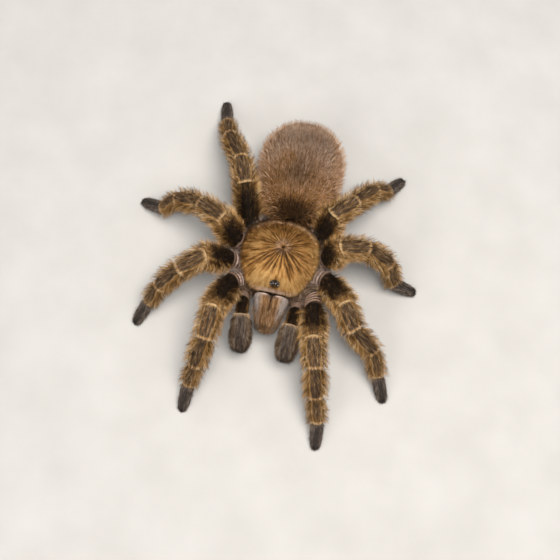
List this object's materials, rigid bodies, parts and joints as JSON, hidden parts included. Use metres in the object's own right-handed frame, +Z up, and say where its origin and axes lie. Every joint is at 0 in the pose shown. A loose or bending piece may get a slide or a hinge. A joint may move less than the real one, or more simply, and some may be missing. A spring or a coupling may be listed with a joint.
{
  "type": "tarantula",
  "caption": "Life-size still model of a hairy burrowing tarantula standing with its legs spread, with eyes, jaws, fangs, palps and spinnerets.",
  "frame": {"origin": "on the floor, under the middle of the box round the whole spider with its spread legs and coat", "axes": "+Z up from the floor, -Y the way the head faces, +X the spider's left"},
  "size_m": [0.0941, 0.1086, 0.0247],
  "materials": {
    "black_fang": "glossy black horn-like cuticle",
    "brown_abdomen": "dense soft tan-brown fur",
    "dark_femur": "blackish-brown fur with a golden fringe",
    "eye_glass": "wet black lens, opaque",
    "golden_carapace": "short golden-ochre velvet over a matte shield",
    "golden_leg": "grey-brown with golden stripes and long golden bristles",
    "grey_jaw": "grey-brown fur, orange-brown between the jaws",
    "grey_tarsus": "dark slate-grey velvet pads",
    "pale_coxa": "pinkish-grey cuticle with brown fur"
  },
  "bodies": {
    "root": {"abdomen": "brown_abdomen", "carapace": "golden_carapace", "chelicera_left": "grey_jaw", "chelicera_right": "grey_jaw", "eye_anterior_lateral_left": "eye_glass", "eye_anterior_lateral_right": "eye_glass", "eye_anterior_median_left": "eye_glass", "eye_anterior_median_right": "eye_glass", "eye_mound": "golden_carapace", "eye_posterior_lateral_left": "eye_glass", "eye_posterior_lateral_right": "eye_glass", "eye_posterior_median_left": "eye_glass", "eye_posterior_median_right": "eye_glass", "fang_left": "black_fang", "fang_right": "black_fang", "leg_left_1_femur": "dark_femur", "leg_left_1_metatarsus": "golden_leg", "leg_left_1_patella_tibia": "golden_leg", "leg_left_1_tarsus": "grey_tarsus", "leg_left_2_femur": "dark_femur", "leg_left_2_metatarsus": "golden_leg", "leg_left_2_patella_tibia": "golden_leg", "leg_left_2_tarsus": "grey_tarsus", "leg_left_3_femur": "dark_femur", "leg_left_3_metatarsus": "golden_leg", "leg_left_3_patella_tibia": "golden_leg", "leg_left_3_tarsus": "grey_tarsus", "leg_left_4_femur": "dark_femur", "leg_left_4_metatarsus": "golden_leg", "leg_left_4_patella_tibia": "golden_leg", "leg_left_4_tarsus": "grey_tarsus", "leg_right_1_femur": "dark_femur", "leg_right_1_metatarsus": "golden_leg", "leg_right_1_patella_tibia": "golden_leg", "leg_right_1_tarsus": "grey_tarsus", "leg_right_2_femur": "dark_femur", "leg_right_2_metatarsus": "golden_leg", "leg_right_2_patella_tibia": "golden_leg", "leg_right_2_tarsus": "grey_tarsus", "leg_right_3_femur": "dark_femur", "leg_right_3_metatarsus": "golden_leg", "leg_right_3_patella_tibia": "golden_leg", "leg_right_3_tarsus": "grey_tarsus", "leg_right_4_femur": "dark_femur", "leg_right_4_metatarsus": "golden_leg", "leg_right_4_patella_tibia": "golden_leg", "leg_right_4_tarsus": "grey_tarsus", "palp_left_femur": "dark_femur", "palp_left_patella_tibia": "grey_jaw", "palp_left_tarsus": "grey_tarsus", "palp_right_femur": "dark_femur", "palp_right_patella_tibia": "grey_jaw", "palp_right_tarsus": "grey_tarsus", "spinneret_left": "brown_abdomen", "spinneret_right": "brown_abdomen", "sternum_and_coxae": "pale_coxa", "waist": "pale_coxa"}
  },
  "joints": []
}
